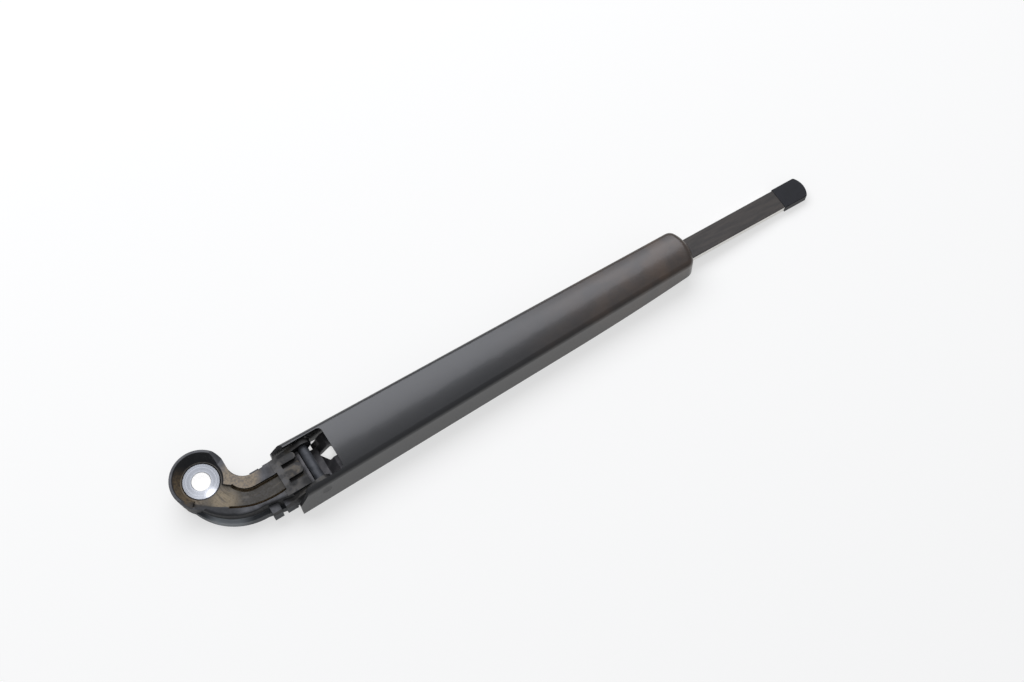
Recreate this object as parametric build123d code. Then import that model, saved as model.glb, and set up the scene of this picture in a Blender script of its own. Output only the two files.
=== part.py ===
from build123d import *
from math import asin, atan2, cos, hypot, radians, sin, sqrt, tan
import os

# Rear wiper arm, in millimetres. The origin is on the spindle axis, in the plane that the
# head seats on. +X runs from the head to the tip, +Y to the side of the spindle, +Z out of
# the glass. The arm lies on that plane: the head, the channel's edges and the tip touch it.

# Arm line and hinge
ARM_OFFSET = 18.0  # from the spindle axis to the arm's centre plane
HINGE_X = 43.4
HINGE_Z = 9.6
HINGE_PIN_RADIUS = 2.2
HINGE_PIN_SHY = 0.05  # from the pin's end to the channel's side
HOOK_PIN_RADIUS = 2.0
HOOK_PIN_THROW = 5.0  # from the hinge axis to the hook pin
HOOK_PIN_ANGLE = 240.0  # direction of the hook pin seen from the hinge, arm at rest
LIFT_ANGLE = 60.0
PRESS_FIT = 0.02  # gap left round a pressed pin or bush
RUNNING_FIT = 0.05  # radial gap of the hinge pin in its bushes
BODY_GAP = 0.3  # gap between parts that turn past each other

# Mounting head
EYE_RADIUS = 13.1  # at the rim
EYE_FOOT = 11.8  # at the seat plane
RIM_HEIGHT = 13.4
RIM_WALL = 1.3
RIM_EDGE = 0.5
RIM_FAR_END = 42.0  # directions between which the rim keeps its full height
RIM_NEAR_END = 204.0
RIM_SLOPE = 30.0  # fall of the rim's two ends to the rails
CUP_FLOOR = 9.4
CUP_DRAFT = 3.0
LEDGE = 1.6
LEDGE_HEIGHT = 4.2
NECK_START = 12.1
NECK_ROOT = 1.6  # start of the inner edge, past the spindle axis
NECK_INNER = 9.4  # inner edge to the arm's centre plane
NECK_FILLET = 8.8
NECK_SWEEP_START = 223.5  # direction at which the outer edge leaves the eye
NECK_SWEEP_RADIUS = 27.65
NECK_SWEEP_END = 17.2
NECK_WAIST = 7.75  # outer edge to the arm's centre plane, where the sweep ends
RAIL_STEP = 1.1  # rails above the band between the grooves
RAIL_EDGE = 1.2
BAND_RISE = 2.6  # climb of the band from the cup to the knuckle
CLIMB_START = 14.0
GROOVE_WIDTH = 1.3
GROOVE_DEPTH = 2.6
POCKET_WALL = 2.2
POCKET_ROOF = 5.0
CLIP_NOTCH_RADIUS = 1.1
CLIP_NOTCH = 200.0  # direction of the notch from the spindle axis
CLIP_TAB_X = 18.9
CLIP_TAB_LENGTH = 4.2
CLIP_TAB_HEIGHT = 9.0
INNER_RAIL = 6.3  # from the neck's inner edge to the middle of the groove beside it
INNER_GROOVE_X = 19.0
INNER_GROOVE_RADIUS = 9.6
INNER_GROOVE_TURN = 71.0
OUTER_GROOVE_X = 4.6
OUTER_GROOVE_START = 1.5  # from the arm's centre plane
OUTER_GROOVE_END = -4.9
OUTER_GROOVE_RADIUS = 40.0
BAND_MOUTH = 226.0  # direction at which the band's near edge meets the cup

# Knuckle of the head
CHEEK = 2.1
CHEEK_EDGE = 1.4  # metal round a bush or a hook pin
BUSH_SLEEVE = 0.65
FLANGE_RADIUS = 3.3
FLANGE = 0.85
LOBE_GAP = 2.1  # from the lobes' ends to the hinge pin
LOBE_SLOT = 2.0
LOBE_SLOT_LENGTH = 7.4
LOBE_SLOT_DEPTH = 2.0
LOBE_SLOTS = (4.0, -3.1)  # slot centres, from the arm's centre plane
LOBE_EDGE = 1.45
LOBE_SIDE = 0.4  # gap from the far lobe to its cheek
LOBE_ROOT = 3.6
SHOULDER_LENGTH = 5.0
SHOULDER_HEIGHT = 9.4

# Spindle bush
BUSH_RADIUS = 8.3
BUSH_PROUD = 0.2
SPINDLE_RADIUS = 5.0
SPINDLE_SEAT = 3.0
TAPER_LENGTH = 2.4
THREAD_RADIUS = 4.05
BUSH_CHAMFER = 0.5
HOLE_CHAMFER = 0.2

# Arm channel
EAR_X = 30.4
NOSE_X = 236.6
EAR_WIDTH = 26.6  # across the shoulders
NOSE_WIDTH = 19.1
EAR_HEIGHT = 16.4
NOSE_HEIGHT = 14.8
CROWN = 1.1  # rise of the rounded roof above the shoulders
SPLAY = 1.1  # how far a wall leans out from its shoulder to its foot
SHEET = 1.5
SHOULDER_RADIUS = 2.8
NOSE_CORNER = 4.2
NOSE_ROUND = 18.0  # radius of the nose's end, seen from above
EAR_END_HEIGHT = 8.0
EAR_TOP_X = 36.7
EAR_CORNER = 3.0
NOTCH_X = 54.0
NOTCH_LIP = 0.6
NOTCH_CORNER = 2.2
LIFT_START_X = 168.0  # the side walls' lower edges rise from here to the nose
LIFT_HEIGHT = 4.4
LIP_LENGTH = 18.0
LIP_SETBACK = 24.0
LIP_REACH = 2.2  # how far a lip reaches under the rod

# Flat rod and tip cap
ROD_WIDTH = 10.4
ROD_THICKNESS = 3.0
ROD_EDGE = 0.4
ROD_INSIDE = 81.7
ROD_BEND_GAP = 2.3
ROD_REACH = 64.5  # from the bend to the end of the cap
ROD_END_CORNER = 4.0
ANCHOR_INSET = 4.2
ANCHOR_RADIUS = 1.9
CAP_LENGTH = 14.3
CAP_WALL = 0.3
CAP_END_WALL = 3.8
CAP_CORNER = 1.2
CAP_ROUND = 8.5  # radius of the cap's end, seen from above
CAP_EDGE = 0.3

# Spring and hook
WIRE_RADIUS = 1.0
COIL_RADIUS = 3.7
COIL_TURNS = 25
SHANK = 2.4  # straight wire between a loop and the coil
SEAT_GAP = 0.2  # from a loop to the edge of its hole
HOOK_PLAY = 0.6  # gap of the hook round its pin, for the swing
HOOK_LEG = 2.0
HOOK_WINDOW = 6.0
HOOK_WINDOW_CORNER = 0.8
HOOK_WINDOW_SHIFT = 1.9  # of the window's middle to the far side
HOOK_WINDOW_SLANT = 3.0
HOOK_RELIEF = 0.6  # from the wide plate to the knuckle, arm lifted
HOOK_WINDOW_X = 7.6  # distances from the hook pin along the hook
HOOK_RISE_X = 8.2
HOOK_WIDE_X = 5.6
HOOK_LEVEL_X = 12.2
HOOK_WEB_X = 14.2
HOOK_LENGTH = 20.2
HOOK_WEB = 2.8
HOOK_HOLE_RADIUS = 1.7
HOOK_HOLE_INSET = 2.9


def width_at(x):
    """Outer width of the channel, which tapers evenly from the ears to the nose."""
    return EAR_WIDTH + (NOSE_WIDTH - EAR_WIDTH) * (x - EAR_X) / (NOSE_X - EAR_X)


def height_at(x):
    """Height of the channel's ridge, which falls evenly from the ears to the nose."""
    return EAR_HEIGHT + (NOSE_HEIGHT - EAR_HEIGHT) * (x - EAR_X) / (NOSE_X - EAR_X)


def wall_at(x, z):
    """Distance of the channel's outer side from its middle, at a height on the leaning wall."""
    return width_at(x) / 2 + SPLAY * (1 - z / (height_at(x) - CROWN))


def loop_bulge(half_thickness):
    """How far a loop of the spring bends away within the thickness of the plate it goes through."""
    return COIL_RADIUS - sqrt(COIL_RADIUS**2 - half_thickness**2)


# Values that follow from the sizes above
CHEEK_OUTER = wall_at(HINGE_X, HINGE_Z + FLANGE_RADIUS) - SHEET - BODY_GAP - FLANGE
KNUCKLE_WIDTH = 2 * CHEEK_OUTER
CHEEK_INNER = CHEEK_OUTER - CHEEK
BUSH_SLEEVE_RADIUS = HINGE_PIN_RADIUS + RUNNING_FIT + BUSH_SLEEVE
KNUCKLE_RADIUS = BUSH_SLEEVE_RADIUS + CHEEK_EDGE
HOOK_PIN_X = HINGE_X + HOOK_PIN_THROW * cos(radians(HOOK_PIN_ANGLE))
HOOK_PIN_Z = HINGE_Z + HOOK_PIN_THROW * sin(radians(HOOK_PIN_ANGLE))
HOOK_INNER = HOOK_PIN_RADIUS + HOOK_PLAY
HOOK_OUTER = HOOK_INNER + HOOK_LEG
HOOK_END_X = HOOK_PIN_X + HOOK_LENGTH
SHOULDER_X = EAR_X - BODY_GAP
LOBE_END = HINGE_X - HINGE_PIN_RADIUS - LOBE_GAP
BAND_TOP = CUP_FLOOR + BAND_RISE
RAIL_LOW = CUP_FLOOR + RAIL_STEP
RAIL_HIGH = BAND_TOP + RAIL_STEP
CUP_RADIUS = EYE_RADIUS - RIM_WALL
LOBE_FLOOR = HOOK_PIN_Z + HOOK_OUTER + BODY_GAP
NECK_INNER_Y = NECK_INNER - ARM_OFFSET
ROD_BOTTOM = HOOK_PIN_Z - ROD_THICKNESS / 2
ROD_TOP = ROD_BOTTOM + ROD_THICKNESS
ROD_START = NOSE_X - ROD_INSIDE
ROD_BEND = NOSE_X + ROD_BEND_GAP
ROD_SLOPE_LENGTH = ROD_REACH - CAP_END_WALL - PRESS_FIT
CAP_DROP = CAP_WALL + PRESS_FIT
# The bend brings the lowest edge of the cap down to the seat plane
ROD_ANGLE = asin(ROD_BOTTOM / hypot(ROD_REACH, CAP_DROP)) - atan2(CAP_DROP, ROD_REACH)
ANCHOR_X = ROD_START + ANCHOR_INSET
HOOK_HOLE_X = HOOK_END_X - HOOK_HOLE_INSET
HOOK_LOOP_X = HOOK_HOLE_X + HOOK_HOLE_RADIUS - WIRE_RADIUS - loop_bulge(HOOK_WEB / 2) - SEAT_GAP
ANCHOR_LOOP_X = ANCHOR_X - ANCHOR_RADIUS + WIRE_RADIUS + loop_bulge(ROD_THICKNESS / 2) + SEAT_GAP
COIL_START = HOOK_LOOP_X + COIL_RADIUS + SHANK
COIL_END = ANCHOR_LOOP_X - COIL_RADIUS - SHANK
TALL = 3 * EAR_HEIGHT  # taller than any piece, for cuts that go right through

ARM_LINE = Location((0, -ARM_OFFSET, 0))
SIDE = Plane((0, 0, 0), x_dir=(1, 0, 0), z_dir=(0, -1, 0))  # sketch x is X, sketch y is Z


def polar(radius, direction):
    """Point at a radius and a direction in degrees from the spindle axis."""
    return (radius * cos(radians(direction)), radius * sin(radians(direction)))


def across(face, width, centre=0.0):
    """Side-view face made into a solid of a width across the arm, about a distance from its middle."""
    return Pos(0, centre, 0) * extrude(SIDE * face, amount=width / 2, both=True)


def cross_pin(x, z, radius, length, centre=0.0):
    """Round bar across the arm."""
    return Pos(x, centre, z) * Rot(90, 0, 0) * Cylinder(radius, length)


def both_sides(make):
    """The same shape made for the far side, +1, and for the near side, -1."""
    return make(1) + make(-1)


def neck_outline(ledge):
    """Plan of the eye and the gooseneck, drawn in by a ledge along the outer edge."""
    waist_y = ledge - NECK_WAIST - ARM_OFFSET
    knuckle_y = ledge - CHEEK_OUTER - ARM_OFFSET
    sweep_start = polar(EYE_FOOT - ledge, NECK_SWEEP_START)
    fillet_end = (NECK_START + NECK_FILLET, NECK_INNER_Y)
    edges = [
        Line((0, NECK_ROOT), (NECK_START, NECK_ROOT)),
        Line((NECK_START, NECK_ROOT), (NECK_START, NECK_INNER_Y + NECK_FILLET)),
        RadiusArc((NECK_START, NECK_INNER_Y + NECK_FILLET), fillet_end, -NECK_FILLET),
        Line(fillet_end, (SHOULDER_X, NECK_INNER_Y)),
        Line((SHOULDER_X, NECK_INNER_Y), (SHOULDER_X, knuckle_y)),
        Line((SHOULDER_X, knuckle_y), (NECK_SWEEP_END, waist_y)),
        RadiusArc((NECK_SWEEP_END, waist_y), sweep_start, NECK_SWEEP_RADIUS - ledge),
        Line(sweep_start, (0, NECK_ROOT)),
    ]
    return make_face(edges)


def above_neck_line(low, high):
    """Region above a line that is level over the eye and climbs along the neck to the knuckle."""
    far = 2 * HINGE_X
    corners = [(-far, low), (CLIMB_START, low), (SHOULDER_X, high), (far, high), (far, TALL), (-far, TALL)]
    return ARM_LINE * across(make_face(Polyline(*corners, close=True)), TALL * 3)


def groove_paths():
    """Centre lines of the two grooves, each beside one edge of the neck."""
    end_x = SHOULDER_X - GROOVE_WIDTH
    inner_y = NECK_INNER_Y - INNER_RAIL
    inner_centre = (INNER_GROOVE_X, inner_y + INNER_GROOVE_RADIUS)
    inner_start = 270 - INNER_GROOVE_TURN
    inner_arc = CenterArc(inner_centre, INNER_GROOVE_RADIUS, inner_start, INNER_GROOVE_TURN)
    inner_line = Line((INNER_GROOVE_X, inner_y), (end_x, inner_y - GROOVE_WIDTH / 2))
    outer_start = (OUTER_GROOVE_X, OUTER_GROOVE_START - ARM_OFFSET)
    outer_end = (end_x, OUTER_GROOVE_END - ARM_OFFSET)
    outer_arc = RadiusArc(outer_start, outer_end, -OUTER_GROOVE_RADIUS)
    return [inner_arc, inner_line], [outer_arc]


def eye_wall():
    """Wall of the cup: full height round the far side, sloping down to the rails towards the neck."""
    eye = Pos(0, 0, RIM_HEIGHT / 2) * Cone(EYE_FOOT, EYE_RADIUS, RIM_HEIGHT)
    eye = fillet(eye.edges().sort_by(Axis.Z)[-1], RIM_EDGE)
    eye -= Pos(NECK_START + EYE_RADIUS, 0, 0) * Box(2 * EYE_RADIUS, TALL, TALL)
    far_end = Vector(*polar(EYE_RADIUS, RIM_FAR_END))
    near_end = Vector(*polar(EYE_RADIUS, RIM_NEAR_END))
    along = (far_end - near_end).normalized()
    towards_neck = Vector(along.Y, -along.X)
    slope_length = (RIM_HEIGHT - RAIL_LOW) / tan(radians(RIM_SLOPE))
    corners = [(0, RIM_HEIGHT), (slope_length, RAIL_LOW), (TALL, RAIL_LOW), (TALL, TALL), (0, TALL)]
    side = Plane(near_end, x_dir=towards_neck, z_dir=-along) * make_face(Polyline(*corners, close=True))
    return eye - extrude(side, amount=TALL, both=True)


def knuckle():
    """Two cheeks for the pins, joined by a web that ends in three lobes."""
    root_x = SHOULDER_X - CHEEK
    boss = HOOK_PIN_RADIUS + CHEEK_EDGE
    hinge_eye = Pos(HINGE_X, HINGE_Z) * Circle(KNUCKLE_RADIUS)
    hook_eye = Pos(HOOK_PIN_X, HOOK_PIN_Z) * Circle(boss)
    root = Line((root_x, HOOK_PIN_Z - boss), (root_x, SHOULDER_HEIGHT))
    side = make_hull([*hinge_eye.edges(), *hook_eye.edges(), root])
    cheeks = both_sides(lambda hand: across(side, CHEEK, hand * (CHEEK_OUTER - CHEEK / 2)))
    web_length = LOBE_END - root_x
    web_width = 2 * CHEEK_INNER - LOBE_SIDE
    plan = Pos(root_x + web_length / 2, -LOBE_SIDE / 2) * Rectangle(web_length, web_width)
    shelf = Pos(0, 0, LOBE_FLOOR) * extrude(plan, RAIL_HIGH - LOBE_SLOT_DEPTH - LOBE_FLOOR)
    for slot_y in LOBE_SLOTS:
        plan -= Pos(LOBE_END, slot_y) * Rectangle(2 * LOBE_SLOT_LENGTH, LOBE_SLOT)
    tips = [v for v in plan.vertices() if v.X > LOBE_END - LOBE_SLOT]
    plan = fillet([v for v in tips if v.Y > LOBE_SLOTS[-1]], LOBE_EDGE)
    lobes = Pos(0, 0, LOBE_FLOOR) * extrude(plan, RAIL_HIGH - LOBE_FLOOR)
    root = Pos(root_x + LOBE_ROOT / 2, 0) * Rectangle(LOBE_ROOT, 2 * CHEEK_INNER)
    web = shelf + lobes + Pos(0, 0, LOBE_FLOOR) * extrude(root, RAIL_HIGH - LOBE_FLOOR)
    return ARM_LINE * (cheeks + web)


def shoulders():
    """Blocks beside the root of the knuckle, and the clip tabs of the missing cover."""
    root = NECK_WAIST - LEDGE
    width = CHEEK_OUTER - root
    middle = (CHEEK_OUTER + root) / 2
    block_x = SHOULDER_X - SHOULDER_LENGTH / 2
    tab_x = CLIP_TAB_X + CLIP_TAB_LENGTH / 2

    def one_side(hand):
        block = Pos(block_x, 0, SHOULDER_HEIGHT / 2) * Box(SHOULDER_LENGTH, width, SHOULDER_HEIGHT)
        tab = Pos(tab_x, 0, CLIP_TAB_HEIGHT / 2) * Box(CLIP_TAB_LENGTH, width, CLIP_TAB_HEIGHT)
        return Pos(0, hand * middle, 0) * (block + tab)

    return ARM_LINE * both_sides(one_side)


def neck_body():
    """Neck that climbs from the eye to the knuckle, with rounded upper edges along both sides."""
    neck = extrude(neck_outline(LEDGE), TALL) - above_neck_line(RAIL_LOW, RAIL_HIGH)

    def along_side(edge):
        from_centre = any(abs(v.X) < RAIL_EDGE for v in edge.vertices())
        crosswise = edge.length > NECK_FILLET and edge.bounding_box().size.X < RAIL_EDGE
        return edge.center().Z > CUP_FLOOR and not from_centre and not crosswise

    return fillet([e for e in neck.edges() if along_side(e)], RAIL_EDGE)


def mounting_head():
    """Die-cast gooseneck: cup over the spindle, railed neck and hinge knuckle."""
    head = eye_wall() + extrude(neck_outline(0), LEDGE_HEIGHT) + neck_body() + knuckle() + shoulders()
    cup_height = RIM_HEIGHT - CUP_FLOOR
    head -= Pos(0, 0, CUP_FLOOR + cup_height / 2) * Cone(CUP_RADIUS - CUP_DRAFT, CUP_RADIUS, cup_height)
    inner_path, outer_path = groove_paths()
    mouth = Polyline(outer_path[0] @ 0, polar(CUP_RADIUS, BAND_MOUTH), (0, 0), inner_path[0] @ 0)
    ends = Line(inner_path[-1] @ 1, outer_path[-1] @ 1)
    band = make_face([*inner_path, ends, *outer_path, mouth])
    head -= extrude(band, TALL) & above_neck_line(CUP_FLOOR, BAND_TOP)
    groove_floor = above_neck_line(CUP_FLOOR - GROOVE_DEPTH, BAND_TOP - GROOVE_DEPTH)
    for path in (inner_path, outer_path):
        head -= extrude(trace(path, GROOVE_WIDTH), TALL) & groove_floor
    pocket_start = NECK_START + POCKET_WALL
    pocket_length = SHOULDER_X - POCKET_WALL - pocket_start
    pocket = offset(neck_outline(LEDGE), -POCKET_WALL)
    pocket &= Pos(pocket_start + pocket_length / 2, -ARM_OFFSET) * Rectangle(pocket_length, TALL)
    head -= extrude(pocket, POCKET_ROOF)
    head -= Cylinder(BUSH_RADIUS + PRESS_FIT, TALL)
    notch_x, notch_y = polar(EYE_FOOT, CLIP_NOTCH)
    head -= Pos(notch_x, notch_y, 0) * Cylinder(CLIP_NOTCH_RADIUS, 2 * LEDGE_HEIGHT)
    head -= ARM_LINE * cross_pin(HINGE_X, HINGE_Z, BUSH_SLEEVE_RADIUS + PRESS_FIT, KNUCKLE_WIDTH)
    head -= ARM_LINE * cross_pin(HOOK_PIN_X, HOOK_PIN_Z, HOOK_PIN_RADIUS + PRESS_FIT, KNUCKLE_WIDTH)
    return head


def spindle_bush():
    """Pressed bush: a straight seat, a taper and the thread's hole, turned about the spindle axis."""
    top = CUP_FLOOR + BUSH_PROUD
    profile = Polyline(
        (SPINDLE_RADIUS, 0),
        (BUSH_RADIUS, 0),
        (BUSH_RADIUS, top - BUSH_CHAMFER),
        (BUSH_RADIUS - BUSH_CHAMFER, top),
        (THREAD_RADIUS + HOLE_CHAMFER, top),
        (THREAD_RADIUS, top - HOLE_CHAMFER),
        (THREAD_RADIUS, SPINDLE_SEAT + TAPER_LENGTH),
        (SPINDLE_RADIUS, SPINDLE_SEAT),
        close=True,
    )
    return revolve(SIDE * make_face(profile), Axis.Z)


def hinge_bush(hand):
    """Flanged plastic bush in one cheek of the knuckle."""
    sleeve = cross_pin(HINGE_X, HINGE_Z, BUSH_SLEEVE_RADIUS, CHEEK, hand * (CHEEK_OUTER - CHEEK / 2))
    flange = cross_pin(HINGE_X, HINGE_Z, FLANGE_RADIUS, FLANGE, hand * (CHEEK_OUTER + FLANGE / 2))
    bore = cross_pin(HINGE_X, HINGE_Z, HINGE_PIN_RADIUS + RUNNING_FIT, TALL)
    return ARM_LINE * (sleeve + flange - bore)


def hinge_pin():
    """Hinge pin, pressed into the channel's sides."""
    length = 2 * (wall_at(HINGE_X, HINGE_Z) - HINGE_PIN_SHY)
    return ARM_LINE * cross_pin(HINGE_X, HINGE_Z, HINGE_PIN_RADIUS, length)


def hook_pin():
    """Pin in both cheeks that the spring's hook pulls on."""
    return ARM_LINE * cross_pin(HOOK_PIN_X, HOOK_PIN_Z, HOOK_PIN_RADIUS, KNUCKLE_WIDTH)


def channel_block(start_x, end_x, bottom, inset):
    """Tapered block under a crowned roof, with a rounded nose, drawn in by an inset all round."""

    def section(x):
        ridge = height_at(x) - inset
        shoulder = ridge - CROWN
        half = wall_at(x, shoulder) - inset
        foot = wall_at(x, bottom) - inset
        sides = Polyline((-half, shoulder), (-foot, bottom), (foot, bottom), (half, shoulder))
        roof = ThreePointArc((half, shoulder), (0, ridge), (-half, shoulder))
        return Plane((x, 0, 0), x_dir=(0, 1, 0), z_dir=(1, 0, 0)) * make_face([sides, roof])

    centre_x = NOSE_X - NOSE_ROUND
    radius = end_x - centre_x
    back_x = start_x - SHEET
    end = ThreePointArc((centre_x, radius), (end_x, 0), (centre_x, -radius))
    back = Polyline((centre_x, -radius), (back_x, -radius), (back_x, radius), (centre_x, radius))
    block = loft([section(start_x), section(end_x + SHEET)])
    block &= extrude(make_face([end, back]), amount=TALL, both=True)
    ends = [e for e in block.edges() if e.center().X > centre_x]
    nose = [e for e in ends if e.bounding_box().size.Z > NOSE_HEIGHT / 2]
    block = fillet(nose, NOSE_CORNER - inset)
    high = [e for e in block.edges() if e.center().Z > NOSE_HEIGHT - inset - 2 * CROWN]
    rim = [e for e in high if e.center().X > start_x + CROWN]
    return fillet(rim, SHOULDER_RADIUS - inset)


def channel_side():
    """Side view of the channel: slanted ears, level lower edges that rise to the nose, open roof line."""
    slant = (EAR_TOP_X - EAR_X) / (EAR_HEIGHT - EAR_END_HEIGHT)
    slant_top = (EAR_X + slant * (TALL - EAR_END_HEIGHT), TALL)
    ear_end = (EAR_X, EAR_END_HEIGHT)
    ear_foot = (EAR_X, 0)
    lift_end = (NOSE_X, LIFT_HEIGHT)
    past_nose = NOSE_X + SHEET
    edges = [
        Line(ear_foot, (LIFT_START_X, 0)),
        TangentArc((LIFT_START_X, 0), lift_end, tangent=(1, 0)),
        Polyline(lift_end, (past_nose, LIFT_HEIGHT), (past_nose, TALL), slant_top, ear_end, ear_foot),
    ]
    face = make_face(edges)
    corners = [v for v in face.vertices() if v.X < EAR_X + SHEET and v.Y > SHEET]
    return fillet(corners, EAR_CORNER)


def arm_channel():
    """Folded sheet channel: forked at the hinge, with a nose and two lips that hold the rod."""
    hollow = channel_block(EAR_X - SHEET, NOSE_X - SHEET, -SHEET, SHEET)
    channel = channel_block(EAR_X, NOSE_X, 0, 0) - hollow
    channel &= across(channel_side(), TALL)
    notch_length = 2 * (NOTCH_X - EAR_X)
    notch_width = width_at(NOTCH_X) - 2 * (SHEET + NOTCH_LIP)
    notch = Pos(EAR_X, 0) * RectangleRounded(notch_length, notch_width, NOTCH_CORNER)
    channel -= Pos(0, 0, HINGE_Z) * extrude(notch, TALL)
    channel -= cross_pin(HINGE_X, HINGE_Z, HINGE_PIN_RADIUS + PRESS_FIT, TALL)
    slot_top = ROD_TOP + PRESS_FIT
    slot = Box(2 * NOSE_CORNER, ROD_WIDTH + 2 * PRESS_FIT, 2 * slot_top)
    channel -= Pos(NOSE_X, 0, 0) * slot
    lip_end = NOSE_X - LIP_SETBACK
    lip_inner = ROD_WIDTH / 2 - LIP_REACH
    lip_top = ROD_BOTTOM - PRESS_FIT
    lip_outer = wall_at(lip_end, lip_top) - SHEET / 2
    lip_x = lip_end - LIP_LENGTH / 2
    lip = Box(LIP_LENGTH, lip_outer - lip_inner, SHEET)
    lip_y = (lip_outer + lip_inner) / 2
    channel += both_sides(lambda hand: Pos(lip_x, hand * lip_y, lip_top - SHEET / 2) * lip)
    return ARM_LINE * channel


def flat_rod():
    """Flat bar: level in the channel, bent down to the tip, with the spring's hole in its round end."""
    along = Vector(cos(ROD_ANGLE), -sin(ROD_ANGLE))
    up = Vector(sin(ROD_ANGLE), cos(ROD_ANGLE))
    bend = Vector(ROD_BEND, ROD_BOTTOM)
    end = bend + along * ROD_SLOPE_LENGTH
    corners = [
        (ROD_START, ROD_BOTTOM),
        bend,
        end,
        end + up * ROD_THICKNESS,
        (ROD_BEND + ROD_THICKNESS * tan(ROD_ANGLE / 2), ROD_TOP),
        (ROD_START, ROD_TOP),
    ]
    rod = across(make_face(Polyline(*corners, close=True)), ROD_WIDTH)
    ends = [e for e in rod.edges().filter_by(Axis.Z) if e.center().X < ROD_START + ROD_EDGE]
    rod = fillet(ends, ROD_END_CORNER)
    rod -= Pos(ANCHOR_X, 0, HOOK_PIN_Z) * Cylinder(ANCHOR_RADIUS, 2 * ROD_THICKNESS)
    long_edges = [e for e in rod.edges() if e.length > ROD_REACH / 2]
    return ARM_LINE * fillet(long_edges, ROD_EDGE)


def tip_cap():
    """Moulded sleeve pushed on the end of the rod."""
    along = (cos(ROD_ANGLE), 0, -sin(ROD_ANGLE))
    up = (sin(ROD_ANGLE), 0, cos(ROD_ANGLE))
    slope = Plane((ROD_BEND, 0, ROD_BOTTOM), x_dir=along, z_dir=up)
    half = ROD_WIDTH / 2 + CAP_DROP
    start_x = ROD_REACH - CAP_LENGTH
    corner_x = ROD_REACH - CAP_ROUND + sqrt(CAP_ROUND**2 - half**2)
    sides = Polyline((corner_x, half), (start_x, half), (start_x, -half), (corner_x, -half))
    end = ThreePointArc((corner_x, -half), (ROD_REACH, 0), (corner_x, half))
    plan = make_face([sides, end])
    plan = fillet([v for v in plan.vertices() if v.X > start_x + CAP_CORNER], CAP_CORNER)
    cap = Pos(0, 0, -CAP_DROP) * extrude(plan, ROD_THICKNESS + 2 * CAP_DROP)
    cap = fillet(cap.edges().filter_by(Plane.XY).group_by(Axis.Z)[-1], CAP_EDGE)
    hole_end = ROD_SLOPE_LENGTH + PRESS_FIT
    hole = Box(2 * CAP_LENGTH, ROD_WIDTH + 2 * PRESS_FIT, ROD_THICKNESS + 2 * PRESS_FIT)
    cap -= Pos(hole_end - CAP_LENGTH, 0, ROD_THICKNESS / 2) * hole
    return ARM_LINE * slope.location * cap


def spring_loop(wire_x, coil_x):
    """Half loop of wire in the arm's centre plane, from the top of the coil round through a hole."""
    hand = 1 if coil_x > wire_x else -1
    centre_x = wire_x + hand * COIL_RADIUS
    top = HOOK_PIN_Z + COIL_RADIUS
    foot = HOOK_PIN_Z - COIL_RADIUS
    path = SIDE * (
        Line((coil_x, top), (centre_x, top))
        + ThreePointArc((centre_x, top), (wire_x, HOOK_PIN_Z), (centre_x, foot))
    )
    section = Plane((coil_x, 0, top), z_dir=(-hand, 0, 0)) * Circle(WIRE_RADIUS)
    return sweep(section, path=path) + Pos(coil_x, 0, top) * Sphere(WIRE_RADIUS)


def tension_spring():
    """Coil spring along the channel, with a loop at each end."""
    length = COIL_END - COIL_START
    turn = Pos(COIL_START, 0, HOOK_PIN_Z) * Rot(0, 90, 0) * Rot(0, 0, 180)
    helix = turn * Helix(length / COIL_TURNS, length, COIL_RADIUS)
    section = Plane(helix @ 0, z_dir=helix % 0) * Circle(WIRE_RADIUS)
    coil = sweep(section, path=helix, is_frenet=True)
    return ARM_LINE * (coil + spring_loop(HOOK_LOOP_X, COIL_START) + spring_loop(ANCHOR_LOOP_X, COIL_END))


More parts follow.
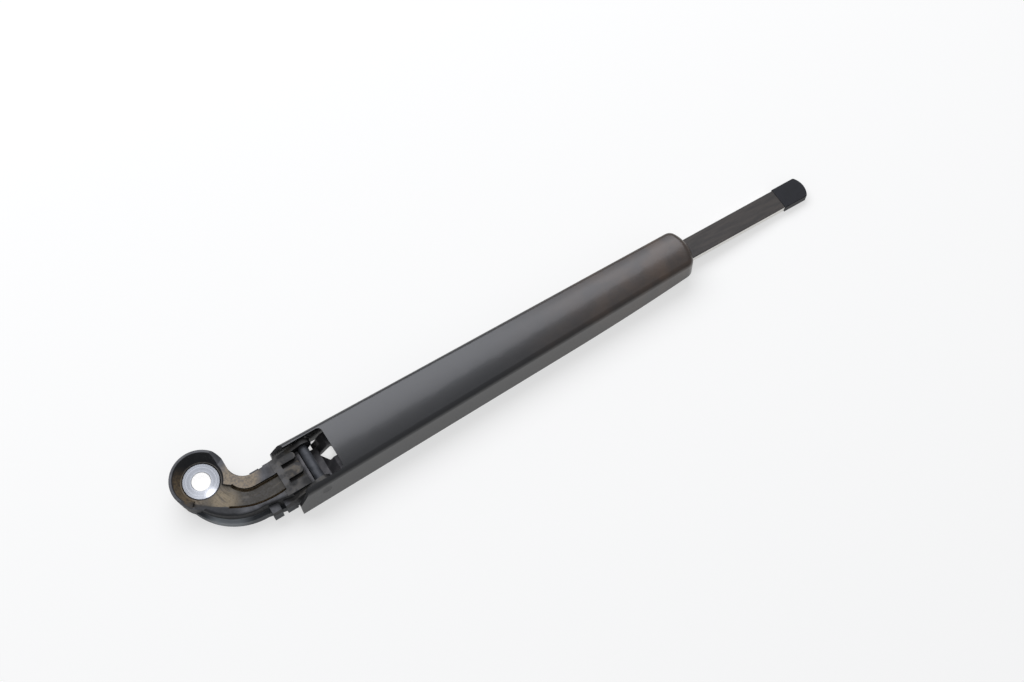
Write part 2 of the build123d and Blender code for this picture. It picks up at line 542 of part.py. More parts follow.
def spring_hook():
    """Stamped hook: it wraps the hook pin from below and widens to a plate with the spring's hole."""
    eye = Circle(HOOK_OUTER) - Circle(HOOK_INNER)
    eye -= Pos(HOOK_OUTER, 0) * Rectangle(2 * HOOK_OUTER, 2 * HOOK_OUTER)
    half_web = HOOK_WEB / 2
    leg = Polyline(
        (0, -HOOK_INNER),
        (HOOK_RISE_X, -HOOK_INNER),
        (HOOK_LEVEL_X, half_web),
        (HOOK_LENGTH, half_web),
        (HOOK_LENGTH, -half_web),
        (HOOK_LEVEL_X + HOOK_LEG / 2, -half_web),
        (HOOK_RISE_X + HOOK_LEG / 2, -HOOK_OUTER),
        (0, -HOOK_OUTER),
        close=True,
    )
    side = eye + make_face(leg)
    narrow_width = 2 * (CHEEK_INNER - BODY_GAP)
    wide_width = 2 * (wall_at(HOOK_END_X, HINGE_Z + half_web) - SHEET - BODY_GAP)
    wide_length = HOOK_LENGTH - HOOK_WIDE_X
    wide_plan = Pos(HOOK_WIDE_X + wide_length / 2, 0) * Rectangle(wide_length, wide_width)
    lifted = radians(HOOK_PIN_ANGLE - LIFT_ANGLE)
    knuckle_x = -HOOK_PIN_THROW * cos(lifted)
    knuckle_z = -HOOK_PIN_THROW * sin(lifted)
    wide = across(side, wide_width) & extrude(wide_plan, amount=TALL, both=True)
    wide -= cross_pin(knuckle_x, knuckle_z, KNUCKLE_RADIUS + HOOK_RELIEF, 2 * wide_width)
    far_edge = HOOK_WINDOW_SHIFT + HOOK_WINDOW / 2
    near_edge = far_edge - HOOK_WINDOW
    corners = [
        (HOOK_WINDOW_X, far_edge),
        (HOOK_WINDOW_X + HOOK_WINDOW_SLANT, near_edge),
        (HOOK_WEB_X, near_edge),
        (HOOK_WEB_X, far_edge),
    ]
    window = make_face(Polyline(*corners, close=True))
    window = fillet(window.vertices(), HOOK_WINDOW_CORNER)
    hook = across(side, narrow_width) + wide - extrude(window, amount=TALL, both=True)
    hook -= Pos(HOOK_LENGTH - HOOK_HOLE_INSET, 0, 0) * Cylinder(HOOK_HOLE_RADIUS, 2 * HOOK_WEB)
    return ARM_LINE * Pos(HOOK_PIN_X, 0, HOOK_PIN_Z) * hook


PIECES = {
    "mounting_head": mounting_head,
    "spindle_bush": spindle_bush,
    "hinge_bush_far": lambda: hinge_bush(1),
    "hinge_bush_near": lambda: hinge_bush(-1),
    "hinge_pin": hinge_pin,
    "hook_pin": hook_pin,
    "arm_channel": arm_channel,
    "flat_rod": flat_rod,
    "tip_cap": tip_cap,
    "tension_spring": tension_spring,
    "spring_hook": spring_hook,
}

os.makedirs("parts", exist_ok=True)
for name, make in PIECES.items():
    piece = make()
    export_step(piece, f"parts/{name}.step")
    print(name, len(piece.solids()), "solid", round(piece.volume), "cubic millimetres")
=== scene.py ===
# %% [markdown]
# # A used rear wiper arm on a white table
# The shapes come from a CAD model, in metres, with +Z up and the arm lying along +X. They could be
# modelled here once more, but then they might not agree with the model that moves, so they are
# loaded and only dressed. This lesson gives them a camera, a table, light and worn materials, so
# that the render looks like a photograph of the real arm.

import math

import bpy
import numpy as np
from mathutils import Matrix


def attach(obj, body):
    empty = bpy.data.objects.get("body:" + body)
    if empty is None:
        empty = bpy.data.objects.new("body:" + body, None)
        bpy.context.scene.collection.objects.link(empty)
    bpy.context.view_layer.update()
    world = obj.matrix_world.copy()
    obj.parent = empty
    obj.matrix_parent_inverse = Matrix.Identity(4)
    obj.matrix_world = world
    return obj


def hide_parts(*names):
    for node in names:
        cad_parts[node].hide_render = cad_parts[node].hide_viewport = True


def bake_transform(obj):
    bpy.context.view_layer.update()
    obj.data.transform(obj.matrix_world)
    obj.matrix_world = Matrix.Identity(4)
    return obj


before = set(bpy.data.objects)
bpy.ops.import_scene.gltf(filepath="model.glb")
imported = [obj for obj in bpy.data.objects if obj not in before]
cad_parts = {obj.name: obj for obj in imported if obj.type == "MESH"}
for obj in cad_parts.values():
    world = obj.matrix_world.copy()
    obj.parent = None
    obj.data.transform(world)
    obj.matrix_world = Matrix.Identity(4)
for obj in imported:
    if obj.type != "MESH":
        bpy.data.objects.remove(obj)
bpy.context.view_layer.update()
scene = bpy.context.scene
print("nodes:", sorted(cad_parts))

# %% [markdown]
# ## Camera
# The picture is taken from above, through a rather long lens. A camera can be placed by eye in the
# viewport, but then some edges never fall where they should, so its place, turn and lens are given
# as numbers. The lens and the slope are trial values that fit, and the turn follows the line of the
# arm. The camera stands 633 mm above the table and looks down at 66 degrees.

# %% Camera
CAMERA_PLACE = (-0.0026, -0.2500, 0.6334)
CAMERA_ELEVATION = 66.0
CAMERA_TURN = -32.25
FOCAL_LENGTH_PX = 1556.0
PICTURE_WIDTH_PX = 1024.0
SENSOR_MM = 36.0

camera_data = bpy.data.cameras.new("camera")
camera_data.sensor_width = SENSOR_MM
camera_data.lens = FOCAL_LENGTH_PX / PICTURE_WIDTH_PX * SENSOR_MM
camera = bpy.data.objects.new("camera", camera_data)
camera.location = CAMERA_PLACE
camera.rotation_euler = (math.radians(90 - CAMERA_ELEVATION), 0, math.radians(CAMERA_TURN))
scene.collection.objects.link(camera)
scene.camera = camera
scene.view_settings.view_transform = "Standard"
print("lens in mm:", round(camera_data.lens, 2))


# %% [markdown]
# ## Helpers for materials
# A material in Blender is a tree of nodes. It can be drawn in the shader editor, but a script can
# be read, changed and run again. Colours are written as the sRGB codes that a picture shows, and
# turned into the linear values that shaders use. One function adds a node of any kind, with its
# settings and links.


# %% Colours and nodes
def linear(code):
    """Linear colour of an sRGB code such as 'a0b0c0'."""
    values = [int(code[i : i + 2], 16) / 255 for i in (0, 2, 4)]
    return [v / 12.92 if v <= 0.04045 else ((v + 0.055) / 1.055) ** 2.4 for v in values] + [1.0]


def fill(tree, node, sockets):
    """Fill sockets by name or number: an output is linked, a colour code or a number is set."""
    for socket, value in sockets.items():
        if isinstance(value, bpy.types.NodeSocket):
            tree.links.new(value, node.inputs[socket])
        else:
            node.inputs[socket].default_value = linear(value) if isinstance(value, str) else value


def add(tree, kind, sockets, out=0, **settings):
    """Add a node with its settings and links, and return one of its outputs."""
    node = tree.nodes.new("ShaderNode" + kind)
    for key, value in settings.items():
        setattr(node, key, value)
    fill(tree, node, sockets)
    return node.outputs[out]


def new_material(name):
    """Empty material, its tree and its principled shader."""
    material = bpy.data.materials.new(name)
    material.use_nodes = True
    return material, material.node_tree, material.node_tree.nodes["Principled BSDF"]


def give(node_name, material):
    """Put a material on a CAD piece."""
    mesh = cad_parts[node_name].data
    mesh.materials.clear()
    mesh.materials.append(material)
    print(node_name, "has", material.name)


print("middle grey in linear light:", round(linear("808080")[0], 3))


# %% [markdown]
# ## Where a finish lies
# Dust, mud, wear and oil lie where the real arm was rained on, rubbed or greased. Such masks can
# be painted on the surface by hand. Here they are products of smooth steps, of a place in
# millimetres, of the direction that a face looks in, or of noise, because those are easy to name
# and to move. A layer lays one colour over another where its mask is high.


# %% Places, masks and layers
MM = 0.001


def place_mm(tree):
    """The point on the piece, in millimetres: as a vector, and as x, y and z."""
    metres = add(tree, "TexCoord", {}, out="Object")
    vector = add(tree, "VectorMath", {0: metres, "Scale": 1 / MM}, operation="SCALE")
    return vector, *add(tree, "SeparateXYZ", {0: vector}).node.outputs


def facing(tree, axis):
    """How much the piece's surface faces along an axis, from -1 to 1."""
    return add(tree, "SeparateXYZ", {0: add(tree, "TexCoord", {}, out="Normal")}, out=axis)


def mask(tree, *steps):
    """Product of steps. A step is an output that is used as it is, or a smooth step: a value, where
    the step starts and where it ends, and its low and high result if they aren't 0 and 1."""
    product = 1.0
    for step in steps:
        if isinstance(step, tuple):
            step = add(tree, "MapRange", dict(enumerate(step)), interpolation_type="SMOOTHSTEP")
        product = add(tree, "Math", {0: product, 1: step}, operation="MULTIPLY")
    return product


def within(value, middle, inner, outer):
    """Two steps: 1 where a value is nearer to the middle than inner, 0 where it is past outer."""
    return (value, middle - outer, middle - inner), (value, middle + outer, middle + inner)


def spot(tree, vector, centre, inner, outer, high=1.0):
    """High near a point, falling smoothly to 0 between two distances in millimetres."""
    gap = add(tree, "VectorMath", {0: vector, 1: centre}, out="Value", operation="DISTANCE")
    return mask(tree, (gap, outer, inner, 0.0, high))


def layer(tree, under, over, *steps):
    """Colour between two: the second where the mask of the steps is 1, the first where it is 0."""
    # The Mix node has its colours in sockets 6 and 7, and their mixture in output 2.
    return add(tree, "Mix", {0: mask(tree, *steps), 6: under, 7: over}, out=2, data_type="RGBA")


print("a millimetre is", MM, "of Blender's units")

# %% [markdown]
# ## Table and light
# The table is a plain white sheet. A strong lamp could make it white, but it would wash out the
# arm too. So a part of its white is a glow that only the camera and reflections see. Brighter
# patches under the spindle hole and under the window of the hook bring the table that is seen
# through them nearer to the white of a photograph. A real table has no such patches.

# %% Table
FLOOR_SIZE = 6.0
FLOOR_GLOW = 0.6
# A patch has a centre, the distances at which its edge starts and ends, and its added glow.
GLOW_PATCHES = [((0, 0, 0), 6.5, 9.5, 0.3), ((52.2, -13.2, 0), 1, 4, 0.15)]

bpy.ops.mesh.primitive_plane_add(size=FLOOR_SIZE)
floor = bpy.context.object
floor.name = "floor"
floor_material, tree, shader = new_material("white_table")
vector = place_mm(tree)[0]
glow = FLOOR_GLOW
for patch in GLOW_PATCHES:
    glow = add(tree, "Math", {0: glow, 1: spot(tree, vector, *patch)}, operation="ADD")
seen = 0.0
for kind in ("Camera", "Glossy", "Transmission"):
    ray = add(tree, "LightPath", {}, out=f"Is {kind} Ray")
    seen = add(tree, "Math", {0: seen, 1: ray}, operation="ADD")
fill(tree, shader, {"Base Color": "a9a8a5", "Roughness": 0.9, "Specular IOR Level": 0.2})
fill(tree, shader, {"Emission Color": "ffffff", "Emission Strength": mask(tree, glow, seen)})
floor.data.materials.append(floor_material)
print("floor glow:", FLOOR_GLOW)

# %% [markdown]
# The room's light comes from everywhere, as the world's colour. A window could be a hole in a
# wall, but one large area light does the same: it stands behind the arm and gives the roof of the
# channel its pale reflection. An ellipse makes that reflection fade at its ends.

# %% Light
ROOM_COLOUR = (0.36, 0.37, 0.39, 1)
ARM_MIDDLE = (0.14, -0.018, 0.0)
WINDOW_DIRECTION = math.radians(84)
WINDOW_ELEVATION = math.radians(52)
WINDOW_DISTANCE = 1.2
WINDOW_SIZE = (1.8, 0.9)
WINDOW_POWER = 13.6

world = bpy.data.worlds.new("room")
scene.world = world
world.use_nodes = True
world.node_tree.nodes["Background"].inputs["Color"].default_value = ROOM_COLOUR
world.node_tree.nodes["Background"].inputs["Strength"].default_value = 1.0

window_data = bpy.data.lights.new("window", "AREA")
window_data.shape = "ELLIPSE"
window_data.size, window_data.size_y = WINDOW_SIZE
window_data.energy = WINDOW_POWER
window_data.color = linear("f6f8ff")[:3]
window = bpy.data.objects.new("window", window_data)
window_flat = math.cos(WINDOW_ELEVATION) * WINDOW_DISTANCE
window.location = (
    ARM_MIDDLE[0] + window_flat * math.cos(WINDOW_DIRECTION),
    ARM_MIDDLE[1] + window_flat * math.sin(WINDOW_DIRECTION),
    ARM_MIDDLE[2] + math.sin(WINDOW_ELEVATION) * WINDOW_DISTANCE,
)
window.rotation_euler = (math.pi / 2 - WINDOW_ELEVATION, 0, math.pi / 2 + WINDOW_DIRECTION)
scene.collection.objects.link(window)

# %% [markdown]
# ## Powder-coated steel of the channel
# The channel is folded sheet steel with a black powder coat, which gives the eye a dark satin
# surface with a very fine grain. One broad shine could do, but the window's reflection has an edge
# too, so a thinner and smoother clear coat lies over it. Towards the nose the coat is warmer, as if
# dusty, and duller on its far side. Inside the channel it is dull, and drawn darker as painted
# shade. The inside is found where a wall faces the arm's middle plane.

# %% Channel
ARM_MIDDLE_Y = -18.0
COAT_CLOUD = 9.0
COAT_GRAIN = 0.5  # finer on a real coat, drawn as coarse as it needs to show
COAT_GRAIN_DEPTH = 0.004
DUST_START, DUST_END = 120, 236
DULL_END = 215
DULL_EDGE_Y = (-14, -9)

arm_coat, tree, shader = new_material("black_powder_coat")
vector, x, y, _ = place_mm(tree)
cloud = add(tree, "TexNoise", {"Vector": vector, "Scale": 1 / COAT_CLOUD, "Detail": 3.0})
grain = add(tree, "TexNoise", {"Vector": vector, "Scale": 1 / COAT_GRAIN, "Detail": 2.0})
from_middle = add(tree, "Math", {0: y, 1: ARM_MIDDLE_Y}, operation="SUBTRACT")
outwards = mask(tree, from_middle, facing(tree, "Y"))
colour = layer(tree, "1c1c1d", "232324", cloud)
dust = (x, DUST_START, DUST_END, 0, 0.7)
colour = layer(tree, colour, "523f2f", dust, (cloud, 0.3, 0.7, 0.4, 1.0))
# Painted shade: the inside of the channel is drawn darker than the coat outside.
colour = layer(tree, colour, "121213", (outwards, -2, -5))
rough = mask(tree, (grain, 0.2, 0.8, 0.33, 0.39))
weathered = mask(tree, (x, DUST_START, DULL_END), (y, *DULL_EDGE_Y, 0, 0.3))
rough = add(tree, "Math", {0: rough, 1: weathered}, operation="ADD")
thin_coat = mask(tree, (outwards, -2, -5, 0, 0.3))
rough = add(tree, "Math", {0: rough, 1: thin_coat}, operation="ADD")
fill(tree, shader, {"Base Color": colour, "Roughness": rough, "Specular IOR Level": 0.5})
fill(tree, shader, {"Coat Weight": 0.33, "Coat Roughness": 0.14})
fill(tree, shader, {"Normal": add(tree, "Bump", {"Height": grain, "Distance": COAT_GRAIN_DEPTH * MM})})
give("arm_channel", arm_coat)

# %% [markdown]
# ## Worn die-cast zinc of the head
# The head is a zinc casting that has lost most of its black coat on top. The eye sees dull grey
# metal where it is rubbed, black where the coat is left on steep faces, and dried mud in the cup
# and along the neck. A few even colours could be put on groups of faces, but wear doesn't stop at
# an edge, so every colour is a layer with its own mask. Heights above the band between the grooves
# tell the band, the rails and the grooves apart.

# %% Head: bare casting
CUP_FLOOR = 9.4
BAND_END = 12.0
BAND_CLIMB_START, BAND_CLIMB_END = 14.0, 30.1
COARSE_WEAR, FINE_WEAR = 4.0, 0.9
LEDGE_TOP = (6.0, 4.8)
LEDGE_SIDE_Y = (-6, -12)
LEDGE_REFLECTION_SPOT = ((1.5, -19.8, 4.2), 4, 12)

head_coat, tree, shader = new_material("worn_die_cast_zinc")
vector, x, y, z = place_mm(tree)
upward = mask(tree, (facing(tree, "Z"), 0.55, 0.9))
climb = {0: x, 1: BAND_CLIMB_START, 2: BAND_CLIMB_END, 3: CUP_FLOOR, 4: BAND_END}
band_height = add(tree, "MapRange", climb)
above_band = add(tree, "Math", {0: z, 1: band_height}, operation="SUBTRACT")
coarse = add(tree, "TexNoise", {"Vector": vector, "Scale": 1 / COARSE_WEAR, "Detail": 3.0})
fine = add(tree, "TexNoise", {"Vector": vector, "Scale": 1 / FINE_WEAR, "Detail": 3.0})
worn = layer(tree, "414143", "606063", (coarse, 0.3, 0.7))
base = layer(tree, "1f1f21", worn, upward)
# Painted reflection: the ledge is drawn pale grey, palest round one spot, for the white table it
# reflects.
painted_ledge_reflection = layer(tree, "505356", "a0a4a7", spot(tree, vector, *LEDGE_REFLECTION_SPOT))
base = layer(tree, base, painted_ledge_reflection, (z, *LEDGE_TOP), (y, *LEDGE_SIDE_Y))
print("band climbs from", CUP_FLOOR, "to", BAND_END, "mm")

# %% [markdown]
# Mud lies along the neck in streaks that follow the bend. A plain noise would make round patches,
# so it is read at the distance from the bend's centre, and only slowly along the neck. Past the
# bend the neck is straight, and the distance is taken from its line.

# %% Head: streaked mud on the band
BEND_CENTRE = (19.0, -5.3)
STREAK_WIDTH = 1.3
STREAK_STRETCH = 0.12
PALE_MUD = ((4, -12.5, CUP_FLOOR), 2, 9)
CUP_MUD = ((-7, -3, CUP_FLOOR), 4, 10)

past_bend = add(tree, "Math", {0: x, 1: BEND_CENTRE[0]}, operation="SUBTRACT")
back = add(tree, "Math", {0: past_bend, 1: 0.0}, operation="MINIMUM")
sideways = add(tree, "Math", {0: y, 1: BEND_CENTRE[1]}, operation="SUBTRACT")
outward = add(tree, "CombineXYZ", {0: back, 1: sideways})
from_bend = add(tree, "VectorMath", {0: outward}, out="Value", operation="LENGTH")
run = (STREAK_STRETCH, -STREAK_STRETCH, 0)
along = add(tree, "VectorMath", {0: vector, 1: run}, out="Value", operation="DOT_PRODUCT")
bent = add(tree, "CombineXYZ", {0: from_bend, 1: along})
streak = add(tree, "TexNoise", {"Vector": bent, "Scale": 1 / STREAK_WIDTH, "Detail": 3.0})
mud = layer(tree, "45413b", "8f816a", spot(tree, vector, *PALE_MUD))
mud = layer(tree, mud, "7d7263", spot(tree, vector, *CUP_MUD))
mud = layer(tree, mud, "37332c", (streak, 0.5, 0.75, 0, 0.6))
mud = layer(tree, mud, "857a69", (streak, 0.42, 0.25, 0, 0.35))
mud = layer(tree, mud, "39352e", (fine, 0.5, 0.75, 0, 0.5))
on_band = mask(tree, (above_band, 0.7, 0.3), (above_band, -0.3, -0.1), upward)
base = layer(tree, base, mud, on_band, (fine, 0.25, 0.55, 0.7, 1.0))
print("streaks of", STREAK_WIDTH, "mm round", BEND_CENTRE)

# %% [markdown]
# Dry mud also lies on the inner rail, low on the cup's wall and on the knuckle, while the outer
# edge beside the cup has kept its black coat. One mask for all of them would be shorter, but each
# has an edge of its own, so each has its own layer.

# %% Head: mud elsewhere
RAIL_MUD = ((14, -8, 11), 6, 11)
RAIL_REACH = (12.0, 11.0)
CUP_STAIN = ((-10, 0, 10), 5, 12)
CUP_WALL = (12.5, 12.0)
CUP_STAIN_TOP = (13.2, 12.4)
KNUCKLE_X = (25, 30)
KNUCKLE_MUD = ((35, -18, 13), 1.5, 4.2)
OUTER_SIDE = (0.65, 0.76, 0)
OUTER_EDGE = (-9.55, -10.45)
OUTER_EDGE_X = ((-9, -7), (9, 5))
OUTER_EDGE_Z = (8.2, 9.0)

on_rail = mask(tree, (above_band, 0.4, 0.8), (from_bend, *RAIL_REACH), upward)
rail_mud = spot(tree, vector, *RAIL_MUD)
base = layer(tree, base, "928470", on_rail, rail_mud, (fine, 0.35, 0.7, 1.0, 0.4))
level = add(tree, "VectorMath", {0: vector, 1: (1, 1, 0)}, operation="MULTIPLY")
from_eye = add(tree, "VectorMath", {0: level}, out="Value", operation="LENGTH")
in_cup = mask(tree, (from_eye, *CUP_WALL), (z, *CUP_STAIN_TOP), spot(tree, vector, *CUP_STAIN))
base = layer(tree, base, "655640", in_cup, (fine, 0.3, 0.6, 0.3, 0.9))
base = layer(tree, base, "4d483f", (x, *KNUCKLE_X), upward, (fine, 0.3, 0.7, 0.75, 0.3))
base = layer(tree, base, "635a4b", spot(tree, vector, *KNUCKLE_MUD), (fine, 0.3, 0.7, 1.0, 0.3))
side = add(tree, "VectorMath", {0: level, 1: OUTER_SIDE}, out="Value", operation="DOT_PRODUCT")
beside_cup = mask(tree, *[(x, *ends) for ends in OUTER_EDGE_X])
base = layer(tree, base, "262628", (side, *OUTER_EDGE), beside_cup, (z, *OUTER_EDGE_Z, 0, 0.85))
print("mud on the rail, the cup and the knuckle")

# %% [markdown]
# The grooves hold pale dust in their depth. The knuckle is dark in noisy patches, and painted
# shade darkens it beside its slots and in a few spots. Both could be painted on by hand, but masks of
# distances follow the curves of the grooves.

# %% Head: grooves, dark patches and painted shade
GROOVE_REACH = (0.8, 1.0)
GROOVE_DEPTH = (-0.1, -0.4)
GROOVE_START_X = (3.6, 4.0)
GROOVE_START_Y = (-7.6, -8.0)
INNER_GROOVE_RADIUS = 9.6
OUTER_GROOVE_CENTRE = (26.4, 17.0, 0)
OUTER_GROOVE_RADIUS = 40.0
DARK_PATCH_X = (26, 31)
DARK_PATCH_SIZE = 3.0
SLOTS_Y = (-14.0, -21.1)
SLOT_REACH = (0.9, 2.2)
SLOT_X = (31, 33.5)
PAINTED_SHADE_SPOTS = [
    ((32.7, -22.6, 13), 0.8, 2.4),
    ((33, -8.8, 12), 1.2, 3.4),
    ((38, -24.6, 12.5), 1.0, 4.0),
    ((42.5, -7, 11.5), 2.0, 5.5),
]
CASTING_DEPTH = 0.05

to_centre = {0: level, 1: OUTER_GROOVE_CENTRE}
from_outer = add(tree, "VectorMath", to_centre, out="Value", operation="DISTANCE")
in_depth = mask(tree, (above_band, *GROOVE_DEPTH), (x, *GROOVE_START_X), (y, *GROOVE_START_Y))
for distance, radius in ((from_bend, INNER_GROOVE_RADIUS), (from_outer, OUTER_GROOVE_RADIUS)):
    base = layer(tree, base, "8a7c66", in_depth, *within(distance, radius, *GROOVE_REACH))
dark_patches = add(tree, "TexNoise", {"Vector": vector, "Scale": 1 / DARK_PATCH_SIZE, "Detail": 3.0})
base = layer(tree, base, "242424", (x, *DARK_PATCH_X), (dark_patches, 0.46, 0.62, 0, 0.8))
# Painted shade beside the knuckle's two slots.
for slot_y in SLOTS_Y:
    base = layer(tree, base, "1d1c1b", *within(y, slot_y, *SLOT_REACH), (x, *SLOT_X, 0, 0.7))
# Painted shade in a few spots on the knuckle.
for place in PAINTED_SHADE_SPOTS:
    base = layer(tree, base, "171615", spot(tree, vector, *place))
rough = mask(tree, (fine, 0.2, 0.8, 0.5, 0.65))
fill(tree, shader, {"Base Color": base, "Roughness": rough, "Specular IOR Level": 0.35})
fill(tree, shader, {"Normal": add(tree, "Bump", {"Height": fine, "Distance": CASTING_DEPTH * MM})})
give("mounting_head", head_coat)

# %% [markdown]
# ## Turned aluminium bush
# The bush is bare aluminium from a lathe, which leaves fine rings that catch the light. The rings
# could be cut into the mesh, but they are far too fine for that, so a noise of the radius alone
# draws them in colour and relief. One side of its face carries a painted highlight with a smaller
# painted glint in it. The hole's wall is drawn smooth and pale, so that it reflects the white table.

# %% Bush
RING_WIDTH = 0.35  # finer on a real bush, drawn as coarse as it needs to show
RING_DEPTH = 0.02
MARK_SIZE = 1.2
HOLE_EDGE = (4.3, 4.15)
SOCKET_EDGE = (5.8, 5.6)
SOCKET_TOP = (9.0, 8.6)
PAINTED_HIGHLIGHT = ((-1, -6.5, 9.6), 2, 9, 0.35)
PAINTED_GLINT = ((1.2, -7.4, 9.6), 1, 4)

bare_metal, tree, shader = new_material("turned_aluminium")
vector, _, _, z = place_mm(tree)
level = add(tree, "VectorMath", {0: vector, 1: (1, 1, 0)}, operation="MULTIPLY")
radius = add(tree, "VectorMath", {0: level}, out="Value", operation="LENGTH")
across_rings = add(tree, "CombineXYZ", {0: radius})
rings = add(tree, "TexNoise", {"Vector": across_rings, "Scale": 1 / RING_WIDTH, "Detail": 4.0})
marks = add(tree, "TexNoise", {"Vector": vector, "Scale": 1 / MARK_SIZE, "Detail": 3.0})
in_socket = mask(tree, (radius, *SOCKET_EDGE), (z, *SOCKET_TOP))
in_hole = add(tree, "Math", {0: mask(tree, (radius, *HOLE_EDGE)), 1: in_socket}, operation="MAXIMUM")
tone = layer(tree, "5e6063", "94969a", (rings, 0.3, 0.7))
tone = layer(tree, tone, "5c5c5e", (marks, 0.55, 0.75, 0, 0.3))
# Painted highlight and painted glint, drawn brighter on one side of the face.
tone = layer(tree, tone, "b4b6ba", spot(tree, vector, *PAINTED_HIGHLIGHT))
tone = layer(tree, tone, "c8c9cc", spot(tree, vector, *PAINTED_GLINT))
tone = layer(tree, tone, "fafafa", in_hole)
rough = mask(tree, (in_hole, 0, 1, 0.34, 0.12))
fill(tree, shader, {"Base Color": tone, "Metallic": 1.0, "Roughness": rough})
fill(tree, shader, {"Normal": add(tree, "Bump", {"Height": rings, "Distance": RING_DEPTH * MM})})
give("spindle_bush", bare_metal)


# %% [markdown]
# ## Steel and acetal of the hinge
# The pins are drawn steel gone dull, the hook is stamped steel stained by oil, the spring is
# patented wire, and the hinge bushes are moulded acetal, which looks black and waxy. Each could
# have a material of its own, but they differ only in colour and shine, so one function makes them
# all. The ends of the hinge pin are taken to be riveted flush with the channel's walls and coated
# together with them.


# %% Pins, hook and hinge bushes
STAIN_SIZE = 3.0
PITTING, PITTING_DEPTH = 0.6, 0.008
COATED_ROUGHNESS = 0.34


def stained(name, first, second, metallic, roughness, painted_ends=False):
    """Dull metal or plastic between two colours. Faces square to Y can have the channel's coat."""
    material, tree, shader = new_material(name)
    vector = place_mm(tree)[0]
    patch = add(tree, "TexNoise", {"Vector": vector, "Scale": 1 / STAIN_SIZE, "Detail": 3.0})
    pits = add(tree, "TexNoise", {"Vector": vector, "Scale": 1 / PITTING, "Detail": 3.0})
    colour = layer(tree, first, second, (patch, 0.35, 0.65))
    if painted_ends:
        square = add(tree, "Math", {0: facing(tree, "Y")}, operation="ABSOLUTE")
        end = mask(tree, (square, 0.85, 0.95))
        colour = layer(tree, colour, "2a2a2b", end)
        metallic = mask(tree, (end, 0, 1, metallic, 0))
        roughness = mask(tree, (end, 0, 1, roughness, COATED_ROUGHNESS))
    fill(tree, shader, {"Base Color": colour, "Metallic": metallic, "Roughness": roughness})
    relief = add(tree, "Bump", {"Height": pits, "Distance": PITTING_DEPTH * MM})
    fill(tree, shader, {"Normal": relief})
    return material


coated_pin_steel = stained("coated_end_pin_steel", "3f4145", "4e5054", 0.3, 0.55, painted_ends=True)
give("hook_pin", stained("drawn_pin_steel", "3f4145", "4e5054", 0.3, 0.55))
give("spring_hook", stained("oiled_stamped_steel", "4a494b", "5e5c5d", 0.4, 0.5))
bush_plastic = stained("moulded_acetal", "1a1a1a", "222222", 0.0, 0.6)
give("hinge_bush_far", bush_plastic)
give("hinge_bush_near", bush_plastic)
spring_steel = stained("patented_spring_wire", "4a4845", "5a5752", 0.9, 0.4)

# %% [markdown]
# ## Painted bar and moulded cap
# The rod is a painted steel bar, dusty on top and bright on its sides, as if worn. Two materials
# on two groups of faces would do, but one that asks which way a face looks also follows the
# rounded edges. The cap is moulded PVC, bluish black and matt.

# %% Rod
ROD_STREAK, ROD_STRETCH = 1.5, (0.15, 1, 1)
ROD_GRAIN, ROD_GRAIN_DEPTH = 0.6, 0.01
SIDE_SHARE = (0.6, 0.85)

rod_coat, tree, shader = new_material("dusty_painted_steel")
vector = place_mm(tree)[0]
square = add(tree, "Math", {0: facing(tree, "Y")}, operation="ABSOLUTE")
side = mask(tree, (square, *SIDE_SHARE))
drawn = add(tree, "VectorMath", {0: vector, 1: ROD_STRETCH}, operation="MULTIPLY")
streaks = add(tree, "TexNoise", {"Vector": drawn, "Scale": 1 / ROD_STREAK, "Detail": 3.0})
grain = add(tree, "TexNoise", {"Vector": vector, "Scale": 1 / ROD_GRAIN, "Detail": 3.0})
top = layer(tree, "302c29", "3f3934", (streaks, 0.3, 0.7))
metallic = mask(tree, (square, *SIDE_SHARE, 0, 0.9))
rough = mask(tree, (side, 0, 1, 0.45, 0.35))
fill(tree, shader, {"Base Color": layer(tree, top, "e8e6e2", side), "Metallic": metallic})
fill(tree, shader, {"Roughness": rough, "Specular IOR Level": 0.4})
fill(tree, shader, {"Normal": add(tree, "Bump", {"Height": grain, "Distance": ROD_GRAIN_DEPTH * MM})})
give("flat_rod", rod_coat)

# %% Cap
CAP_CLOUD = 3.0
CAP_GRAIN, CAP_GRAIN_DEPTH = 0.5, 0.01

cap_plastic, tree, shader = new_material("moulded_pvc")
vector = place_mm(tree)[0]
cloud = add(tree, "TexNoise", {"Vector": vector, "Scale": 1 / CAP_CLOUD, "Detail": 3.0})
grain = add(tree, "TexNoise", {"Vector": vector, "Scale": 1 / CAP_GRAIN, "Detail": 3.0})
black = layer(tree, "121317", "1b1c22", cloud)
fill(tree, shader, {"Base Color": black, "Roughness": 0.5, "Specular IOR Level": 0.3})
fill(tree, shader, {"Normal": add(tree, "Bump", {"Height": grain, "Distance": CAP_GRAIN_DEPTH * MM})})
give("tip_cap", cap_plastic)


# %% [markdown]
# ## Tubes
# The spring and the hinge pin are both round bars along a path. A bevelled curve would give such a
# shape too, but arrays of points let the ends be cut at an angle, so a ring is carried along the
# path with numpy.


# %% Tubes
SHARP_ANGLE = math.radians(50)


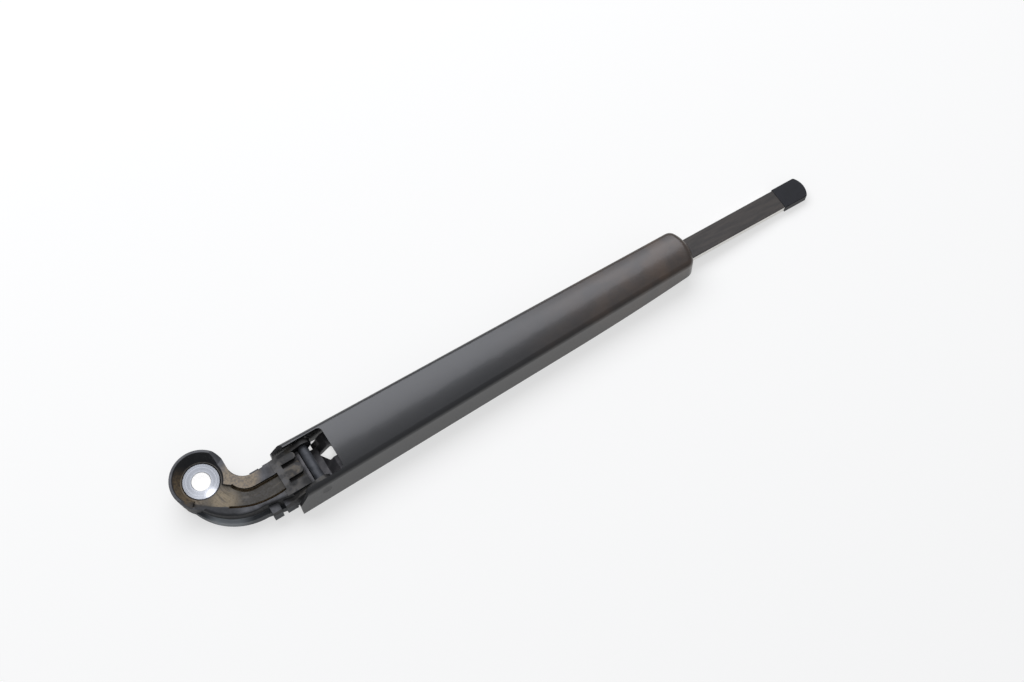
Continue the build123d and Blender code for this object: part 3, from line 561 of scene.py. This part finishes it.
def tube(path, side, radius, sides):
    """Points, side faces and end faces of a tube. Each ring is the path's point, plus the radius
    times the cosine of an angle along one normal and the sine along the other. The first normal is
    the given side direction made square to the path; the second is square to both."""
    run = np.gradient(path, axis=0)
    run /= np.linalg.norm(run, axis=1, keepdims=True)
    first = side - (side * run).sum(axis=1, keepdims=True) * run
    first /= np.linalg.norm(first, axis=1, keepdims=True)
    second = np.cross(run, first)
    angle = np.linspace(0, 2 * np.pi, sides, endpoint=False)[None, :, None]
    rings = path[:, None] + radius * (np.cos(angle) * first[:, None] + np.sin(angle) * second[:, None])
    ring, corner = np.meshgrid(np.arange(len(path) - 1), np.arange(sides), indexing="ij")
    following = (corner + 1) % sides
    loops = [ring * sides + corner, ring * sides + following]
    loops += [(ring + 1) * sides + following, (ring + 1) * sides + corner]
    quads = np.stack(loops, axis=-1).reshape(-1, 4)
    first_end = np.arange(sides)[::-1]
    last_end = np.arange(sides) + (len(path) - 1) * sides
    return rings.reshape(-1, 3), quads, np.stack([first_end, last_end])


def piece(name, tubes, material):
    """One object from several tubes, smooth along them and sharp at their ends."""
    points, faces = [], []
    for part_points, quads, ends in tubes:
        shift = sum(len(p) for p in points)
        points.append(part_points)
        faces += (quads + shift).tolist() + (ends + shift).tolist()
    mesh = bpy.data.meshes.new(name)
    mesh.from_pydata(np.concatenate(points), [], faces)
    mesh.polygons.foreach_set("use_smooth", np.ones(len(faces), dtype=bool))
    mesh.set_sharp_from_angle(angle=SHARP_ANGLE)
    mesh.materials.append(material)
    result = bpy.data.objects.new(name, mesh)
    scene.collection.objects.link(result)
    print(name, "has", len(faces), "faces")
    return result


print("edges sharper than", round(math.degrees(SHARP_ANGLE)), "degrees stay sharp")

# %% [markdown]
# ## Spring
# The CAD spring is one very fine mesh. It could be thinned, but that leaves uneven facets, so a
# lighter one is made from three tubes: a coil and the loop at each end.

# %% Spring
ARM_Y = -0.018
AXIS_Z = 0.00527
COIL_RADIUS = 0.0037
WIRE_RADIUS = 0.00095  # a little thin, so that the loops stay clear of their holes when they swing
WIRE_SIDES = 12
COIL_TURNS = 25
TURN_POINTS = 24
LOOP_POINTS = 25
SHANK_POINTS = 5
HOOK_END, COIL_START, COIL_END, ROD_END = 0.058425, 0.064525, 0.152618, 0.158718


def coil():
    """The coil: the angle grows evenly along X, and the point goes round the axis at the radius."""
    turn = np.linspace(0, 2 * np.pi * COIL_TURNS, TURN_POINTS * COIL_TURNS + 1)
    along = np.linspace(COIL_START, COIL_END, len(turn))
    out = np.stack([np.zeros_like(turn), np.sin(turn), np.cos(turn)], axis=1)
    axis = np.stack([along, np.full_like(along, ARM_Y), np.full_like(along, AXIS_Z)], axis=1)
    return tube(axis + out * COIL_RADIUS, out, WIRE_RADIUS, WIRE_SIDES)


def loop(tip_x, coil_x):
    """An end loop: a straight shank at the top of the coil, then a half circle in the arm's middle
    plane, whose points follow the sine along X and the cosine along Z."""
    hand = 1 if coil_x > tip_x else -1
    centre_x = tip_x + hand * COIL_RADIUS
    half = np.linspace(0, np.pi, LOOP_POINTS)
    shank_x = np.linspace(coil_x, centre_x, SHANK_POINTS, endpoint=False)
    x = np.concatenate([shank_x, centre_x - hand * COIL_RADIUS * np.sin(half)])
    z = AXIS_Z + COIL_RADIUS * np.concatenate([np.ones(SHANK_POINTS), np.cos(half)])
    path = np.stack([x, np.full_like(x, ARM_Y), z], axis=1)
    return tube(path, np.tile([0.0, 1.0, 0.0], (len(path), 1)), WIRE_RADIUS, WIRE_SIDES)


spring_tubes = [coil(), loop(HOOK_END, COIL_START), loop(ROD_END, COIL_END)]
spring = piece("spring_wire", spring_tubes, spring_steel)
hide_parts("tension_spring")
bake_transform(spring)

# %% [markdown]
# ## Hinge pin
# A riveted pin is dressed flush with the walls that hold it. These walls lean and converge, so
# square ends would stand out on one side and sink in on the other. The pin is one more tube, and
# the points of its two end rings are moved to the wall's plane, just short of its surface.

# %% Hinge pin
HINGE_X, HINGE_Z = 0.0434, 0.0096
PIN_RADIUS = 0.0022
PIN_SIDES = 64
WALL_AT_HINGE = 0.013469  # from the arm's middle plane to the outside of a wall
WALL_LEAN_X, WALL_LEAN_Z = -0.0182, -0.0724
PIN_SHY = 0.00002

pin_ends_y = (ARM_Y - WALL_AT_HINGE, ARM_Y + WALL_AT_HINGE)
pin_path = np.array([[HINGE_X, end_y, HINGE_Z] for end_y in pin_ends_y])
pin_side = np.tile([0.0, 0.0, 1.0], (len(pin_path), 1))
pin_points, pin_quads, pin_ends = tube(pin_path, pin_side, PIN_RADIUS, PIN_SIDES)
lean = WALL_LEAN_X * (pin_points[:, 0] - HINGE_X) + WALL_LEAN_Z * (pin_points[:, 2] - HINGE_Z)
reach = WALL_AT_HINGE + lean - PIN_SHY
pin_points[:, 1] = ARM_Y + np.sign(pin_points[:, 1] - ARM_Y) * reach
pin = piece("riveted_hinge_pin", [(pin_points, pin_quads, pin_ends)], coated_pin_steel)
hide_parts("hinge_pin")
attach(pin, "arm")
